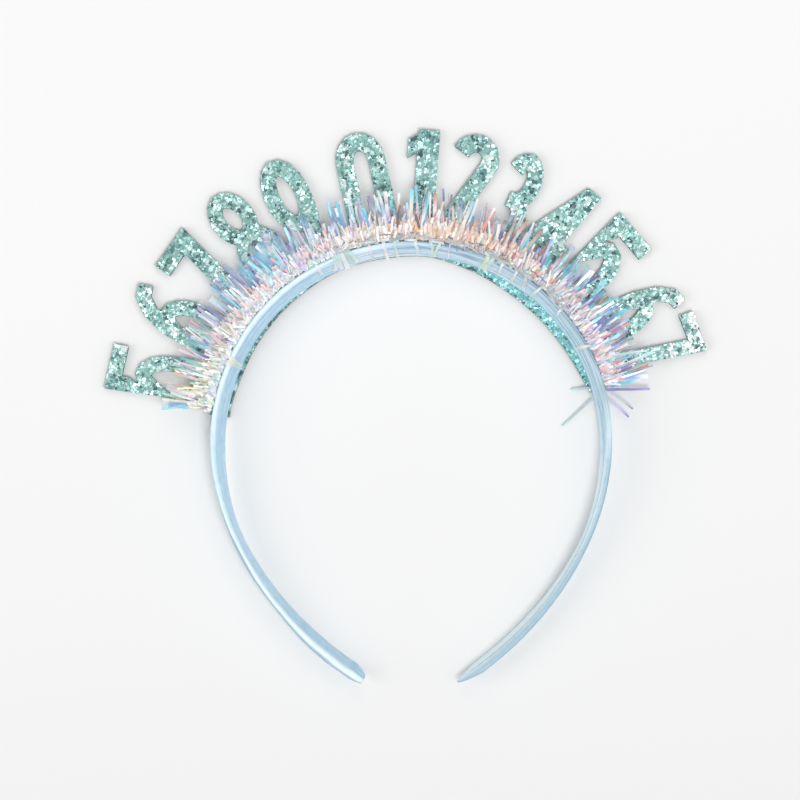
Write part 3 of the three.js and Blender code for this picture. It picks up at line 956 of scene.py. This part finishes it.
def makeBaseStrips(rng, look):  # the crinkled base, in tufts, up to the band's front edge
    strips = baseStrips
    count = strips["count"]
    inmost, reach = strips["reach"]
    turn = rng.uniform(*film["turns"], count)
    outward = reach * rng.random(count) ** 1.4 + inmost
    height = strips["height"] - strips["fall"] * (outward - inmost) + rng.normal(0, 0.8, count)
    height = height + 0.8 * (1 - smoothStep(turn, -40, -15))
    roots = rootsAt(turn, outward, height)
    tuft = 16 * wander(turn, 17, 150) + 10 * wander(turn, 19, 400)
    heading = turn + tuft + rng.normal(0, 9, count)
    rise = rng.normal(6, 14, count) + 10 * wander(turn, 21, 200)
    length = rng.uniform(*strips["lengths"], count) * (1 + 0.35 * wander(turn, 22, 130))
    width = rng.uniform(*strips["widths"], count)
    wash = strips["wash"] * (rng.random((count, 1, 1)) < strips["washed"])
    tones = paler(pickTones(rng, turn, 2), wash)

    over = overStrips
    count = over["count"]
    side = rng.uniform(film["turns"][0], over["lastTurn"], count)
    outward = rng.uniform(*over["reach"], count)
    overRoots = rootsAt(side, outward, rng.normal(over["height"], 0.15, count))
    roots = np.concatenate((roots, overRoots))
    heading = np.concatenate((heading, side + rng.normal(0, 30, count)))
    rise = np.concatenate((rise, rng.normal(-4, 8, count)))
    length = np.concatenate((length, rng.uniform(*over["lengths"], count)))
    width = np.concatenate((width, rng.uniform(*over["widths"], count)))
    tones = np.concatenate((tones, drawTones(rng, over["tones"], count)))
    shape = strips["shape"]
    makeStrips("tinselCrinkle", roots, heading, rise, length, width, look, tones, shape, rng, 6)


def makeSheerStrips(rng, look):  # the widest ones, which stand furthest out
    strips = sheerStrips
    count = strips["count"]
    left = rng.uniform(*strips["leftTurns"], strips["leftCount"])
    turn = np.concatenate((left, rng.uniform(*film["turns"], count - strips["leftCount"])))
    outward = rng.normal(0, 0.6, count)
    roots = rootsAt(turn, outward, film["coreHeight"] + rng.uniform(0, 2, count))
    heading = turn + rng.normal(0, 9, count)
    rise = rng.normal(16, 8, count)
    length = rng.uniform(*strips["lengths"], count)
    width = rng.uniform(*strips["widths"], count)
    tones = drawTones(rng, strips["tones"], count)
    shape = strips["shape"]
    makeStrips("sheerFilm", roots, heading, rise, length, width, look, tones, shape, rng, 9)


def makeTinsel():
    rng = np.random.default_rng(12)
    look = filmFinish("iridescent film", 0.62, 0.1)
    sheer = filmFinish("sheer iridescent film", 0.05, 0.04)
    long = makeLongStrips(rng, look)
    makeBaseStrips(rng, look)
    makeSheerStrips(rng, sheer)
    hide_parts("tinsel_garland")


def makeCore():
    first, last = film["turns"]
    turns = np.linspace(first, last, 640)[:, None]
    around = np.radians(np.arange(14) * 360 / 14)[None, :]
    lump = wander(turns + 25 * around, 14, 90) + wander(turns * 1.3 - 40 * around, 15, 150)
    lump = film["coreLumps"] * lump
    ends = np.minimum(smoothStep(turns, first, first + 2), 1 - smoothStep(turns, last - 2, last))
    size = 0.35 + 0.65 * ends
    wide, high = film["coreSection"]
    radius = film["corePath"] - 0.1 + (wide + lump) * np.cos(around) * size
    height = film["coreHeight"] + 0.5 + (high + lump) * np.sin(around) * size
    places = np.concatenate((polar(radius, turns + 0 * radius), height[..., None]), -1)
    rings, sides = height.shape
    end = (rings - 1) * sides
    caps = [(0, j + 2, j + 1, j) for j in range(1, sides - 2, 2)]
    caps += [(end, end + j, end + j + 1, end + j + 2) for j in range(1, sides - 2, 2)]
    faces = np.concatenate((tubeFaces(rings, sides), np.array(caps)))
    tones = paler(pickTones(np.random.default_rng(16), turns[:, 0], 2)[:, 1], 0.5)
    marks = {"film": np.repeat(tones, sides, 0)}
    uv = np.stack(np.broadcast_arrays(turns * 1.2, around * 3), -1)
    look = filmFinish("crushed film", 1.0, 0.08)
    addPiece("tinselCore", places, faces, look, marks, uv)


# Scraps that lie along the band's front edge:
# how many, turns, depths in from the outer face, lengths, widths, spread in degrees, tones
scraps = [
    (46, (-14, 50), (-0.7, 0.1), (2.5, 5.5), (0.5, 0.9), 7, "ash sage fog sage sage fog"),
    (60, (-28, 52), (-1.5, 0.5), (0.9, 2.4), (0.35, 0.8), 26, "sage fog mint sage lavender"),
    # the dark row below lays a dark line in the gap between the band's outer face and the tinsel
    (70, (-30, 52), (-2.5, -1.7), (0.5, 1.8), (0.25, 0.5), 14, "slate umber slate indigo"),
    (9, (0, 30), (0.4, 1.9), (0.4, 0.7), (0.3, 0.5), 30, "indigo slate"),
]


scrapShape = {
    "sweep": (0, 8), "curl": (0, 4), "roll": (0, 12), "twist": (0, 8), "crimp": (0, 0.03), "waves": 1,
}


def makeEdgeFilm():
    rng = np.random.default_rng(18)
    parts = []
    for count, turns, depths, lengths, widths, spread, names in scraps:
        turn = rng.uniform(*turns, count)
        roots = bandPlace(turn, rng.uniform(*depths, count), 1.0)
        roots[:, 2] += 0.1 + 0.25 * rng.random(count)
        tones = drawTones(rng, names, count)
        heading = turn + 90 + rng.normal(0, spread, count)
        length = rng.uniform(*lengths, count)
        width = rng.uniform(*widths, count)
        parts.append((roots, heading, length, width, tones))
    roots, heading, length, width, tones = (np.concatenate(column) for column in zip(*parts))
    rise = rng.normal(0, 3, len(roots))
    look = filmFinish("film scraps", 0.5, 0.0, 0.0)
    makeStrips("edgeFilm", roots, heading, rise, length, width, look, tones, scrapShape, rng, 5)


makeTinsel()
makeCore()
makeEdgeFilm()


# Strips of film caught over the band, with their ends on its inner side:
# turn, lean in degrees of turn from outside to inside, width, reach in past the band, tones
crossings = [
    (-66.5, 1.2, 1.8, 0.3, "white cream mint"),
    (-65.0, -1.5, 1.2, 0.1, "white cream mint"),
    (-28.2, 0.8, 1.2, -1.6, "white white mint"),
    (-22.6, -2.2, 1.5, -0.6, "sage mint white"),
    (-21.4, -1.0, 1.5, 0.2, "mint mint white"),
    (-20.2, 0.6, 1.4, 0.6, "mint white white"),
    (-19.0, 2.0, 1.5, 0.0, "mint sage mint"),
    (-17.6, 3.2, 1.3, -0.9, "mint mint white"),
    (-12.0, 0.5, 0.9, -0.9, "lavender white lavender"),
    (-7.8, 0.9, 1.0, 1.3, "white white cream"),
    (-4.6, 1.2, 0.9, 0.4, "white mint lime"),
    (1.6, 1.2, 1.3, -0.9, "mint white mint"),
    (6.0, 1.4, 0.9, 0.0, "lime mint lime"),
    (8.0, -1.8, 1.0, 0.1, "lime lime mint"),
    (11.3, 0.4, 0.5, -0.9, "white lavender white"),
    (22.6, -0.8, 1.5, 0.2, "mint lime mint"),
    (24.0, -1.2, 1.3, 0.6, "lime mint lime"),
    (27.4, 0.3, 1.0, -0.4, "white white mint"),
    (32.0, 0.2, 1.0, -0.6, "lime white mint"),
    (35.4, 2.2, 1.3, -1.6, "mint sage white"),
    (40.0, -0.6, 1.1, -0.3, "mint white mint"),
    (48.8, 0.8, 0.8, -0.8, "lavender white cyan"),
    (61.2, -1.4, 1.2, -0.4, "lime cream lime"),
]

# The way over the band: depth in from the outer face, share of the width up, clearance
crossingPath = [
    (-0.9, 0.86, 0.0), (-0.3, 0.98, 0.1), (0.5, 1.0, 0.3), (1.7, 1.0, 0.3),
    (2.45, 0.95, 0.12), (2.5, 0.6, 0.1), (2.55, 0.25, 0.1),
]


def makeCrossings():
    rng = np.random.default_rng(33)
    depth, up, clear = np.array(crossingPath).T
    rows, colours, uvs = [], [], []
    for turn, lean, width, reach, names in crossings:
        share = np.linspace(0, 1, len(depth))
        turns = turn + lean * (share - 0.5) + 0.12 * rng.normal(0, 1, len(depth))
        inward = depth + np.array((0, 0, 0, 0, 0, 0, max(reach, 0)))
        height = up - np.array((0, 0, 0, 0, 0, 0, 0.16 * min(reach, 0)))
        line = bandPlace(turns, inward, height) + np.stack((0 * clear, 0 * clear, clear), -1)
        ahead = unit(np.gradient(line, axis=0))
        level = bandInward(turns)
        side = np.concatenate((np.stack((-level[:, 1], level[:, 0]), -1), np.zeros((len(depth), 1))), -1)
        normal = unit(np.cross(ahead, side))
        wide = side * (width / 2 * (1 + 0.15 * rng.normal(0, 1, len(depth))))[:, None]
        thick = normal * 0.05
        corners = (line - wide + thick, line + wide + thick, line + wide - thick, line - wide - thick)
        rows.append(np.stack(corners, 1))
        picked = paler(tonesOf(names), 0.3)
        first = between(picked[0], picked[1], smoothStep(share, 0, 0.5)[:, None])
        colour = between(first, picked[2], smoothStep(share, 0.5, 1)[:, None])
        colours.append(np.repeat(colour[:, None], 4, 1))
        corner = np.array((0, 1, 1, 0))
        uvs.append(np.stack(np.broadcast_arrays(share[:, None] * 8 + turn, corner + turn), -1))
    faces = stripFaces(len(rows), len(depth))
    look = filmFinish("pale crossing film", 0.48, 0.04, 0.0)
    marks = {"film": np.array(colours).reshape(-1, 3)}
    uv = np.array(uvs)
    addPiece("crossingFilm", np.array(rows), faces, look, marks, uv, smooth=False)


makeCrossings()


# Stray strips: where each starts and ends, width, tones
strays = [
    ((67.7, 5.5, 5.5), (83.0, 5.7, 3.0), 0.9, "violet indigo violet"),
    ((67.5, 3.3, 4.5), (76.0, -3.8, 2.0), 0.7, "fog lavender violet"),
    ((69.8, 4.3, 4.5), (77.3, -1.1, 2.2), 0.6, "fog fog slate"),
    ((63.2, 6.2, 3.0), (56.4, 5.4, 1.4), 0.9, "slate fog mint"),
    ((63.6, 2.3, 2.2), (53.4, -6.9, 0.9), 0.7, "fog sage mint"),
    ((69.6, 6.7, 5.0), (79.5, 8.8, 4.6), 1.1, "blue cyan white"),
    ((69.2, 9.1, 5.6), (82.2, 10.1, 5.2), 1.3, "cyan blue white"),
    ((-65.6, -2.4, 4.0), (-68.1, -12.0, 2.6), 0.25, "umber pink cream"),
    ((-71.3, 0.6, 4.4), (-82.6, 1.3, 3.8), 0.8, "mint cyan white"),
    ((-69.9, 2.0, 5.0), (-80.8, -0.1, 4.2), 0.9, "white lavender mint"),
]


strayShape = {
    "sweep": (0, 1.5), "curl": (0, 2), "roll": (20, 8), "twist": (0, 10),
    "crimp": (0, 0.05), "waves": 1, "low": 0.4,
}


def makeStrays():
    rng = np.random.default_rng(7)
    ends = np.array([(start, end) for start, end, _, _ in strays])
    run = ends[:, 1] - ends[:, 0]
    length = np.linalg.norm(run, axis=-1)
    heading = np.degrees(np.arctan2(run[:, 0], run[:, 1]))
    rise = np.degrees(np.arcsin(run[:, 2] / length))
    width = np.array([row[2] for row in strays])
    tones = np.array([tonesOf(row[3]) for row in strays])
    roots = ends[:, 0] - arcCentre
    look = filmFinish("stray film", 0.75, 0.05)
    makeStrips("strayStrips", roots, heading, rise, length, width, look, tones, strayShape, rng, 9)


# Camera, table and light

camera = {
    "height": 850,
    "over": (-2.0, 1.97),
    "lens": 112,
    "sensor": 36,
}


def makeCamera():
    data = bpy.data.cameras.new("camera")
    data.lens = camera["lens"]
    data.sensor_width = camera["sensor"]
    data.clip_end = 20
    seen = bpy.data.objects.new("camera", data)
    seen.location = (camera["over"][0] * mm, camera["over"][1] * mm, camera["height"] * mm)
    bpy.context.scene.collection.objects.link(seen)
    bpy.context.scene.camera = seen


studio = {
    # the table is painted darker towards the near edge, a painted falloff of the light
    "table": (tone(230, 230, 230), tone(246, 246, 246)),  # near edge and far edge of the picture
    "tableFade": 0.16,
    "tableHalf": 2.5,  # metres
    "sky": 0.285,
    "lamps": [  # place and size in metres
        {"name": "mainLamp", "place": (0.2, -0.38, 1.25), "size": 0.6, "watts": 8.2},
        {"name": "leftLamp", "place": (-0.65, -0.09, 0.45), "size": 0.6, "watts": 1.9},
        {"name": "backLamp", "place": (0.0, 0.6, 0.6), "size": 0.5, "watts": 0.8},
        {"name": "fillLamp", "place": (0.6, -0.15, 0.7), "size": 1.2, "watts": 2.5},
    ],
}


def makeTable():
    finish = Finish("white paper table")
    grain = finish.noise(finish.place(), 900.0, 3)
    # painted falloff of the light: darker towards the near edge
    away = finish.node("SeparateXYZ", None, {0: finish.place()}, 1)
    fade = studio["tableFade"]
    away = finish.node("MapRange", {"clamp": True}, {0: away, 1: -fade, 2: fade, 3: 0.0, 4: 1.0})
    colour = finish.mix(away, *studio["table"])
    colour = finish.mix(grain * 0.04, colour, tone(229, 230, 231))
    material = finish.surface({
        "Base Color": colour,
        "Roughness": 0.75,
        "Specular IOR Level": 0.2,
        "Normal": finish.bump(grain, 0.05, 0.05),
    })
    half = studio["tableHalf"]
    mesh = bpy.data.meshes.new("table")
    corners = [(-half, -half, 0), (half, -half, 0), (half, half, 0), (-half, half, 0)]
    mesh.from_pydata(corners, [], [(0, 1, 2, 3)])
    mesh.materials.append(material)
    table = bpy.data.objects.new("table", mesh)
    table.location.z = -0.02 * mm
    bpy.context.scene.collection.objects.link(table)


def makeLights():
    for lamp in studio["lamps"]:
        data = bpy.data.lights.new(lamp["name"], "AREA")
        data.shape = "DISK"
        data.size = lamp["size"]
        data.energy = lamp["watts"]
        light = bpy.data.objects.new(lamp["name"], data)
        light.location = lamp["place"]
        light.rotation_euler = (-light.location).to_track_quat("-Z", "Y").to_euler()
        bpy.context.scene.collection.objects.link(light)
    world = bpy.data.worlds.new("studio")
    world.use_nodes = True
    sky = world.node_tree.nodes["Background"]
    sky.inputs["Color"].default_value = (1.0, 1.0, 1.0, 1)
    sky.inputs["Strength"].default_value = studio["sky"]
    bpy.context.scene.world = world


makeStrays()
makeCamera()
makeTable()
makeLights()
bpy.context.scene.view_settings.view_transform = "Standard"
print("camera, table and lights placed")
